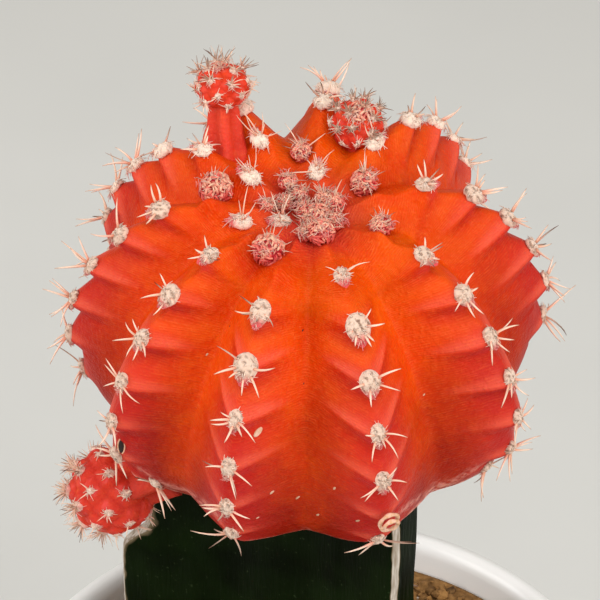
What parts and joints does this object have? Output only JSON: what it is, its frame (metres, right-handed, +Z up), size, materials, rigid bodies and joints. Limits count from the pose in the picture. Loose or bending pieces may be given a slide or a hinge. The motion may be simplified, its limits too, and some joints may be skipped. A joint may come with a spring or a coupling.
{
  "type": "potted moon cactus",
  "caption": "Grafted moon cactus: a ribbed orange scion with woolly areoles, spines, offsets and buds on a dark winged rootstock, standing in soil in a plain tapered white pot.",
  "frame": {"origin": "on the table under the pot's axis, at the level of its foot ring", "axes": "+Z up along the pot's axis, -Y to the front that the picture shows, +X to the right of it"},
  "size_m": [0.068, 0.068, 0.143],
  "materials": {
    "pot": "glossy white",
    "soil": "rough tan-brown potting soil",
    "rootstock": "waxy dark green skin with corky margins",
    "scion": "satin orange-red flesh with cream wool and spines"
  },
  "bodies": {
    "root": {"pot": "pot", "soil": "soil", "rootstock": "rootstock", "scion": "scion"}
  },
  "joints": []
}
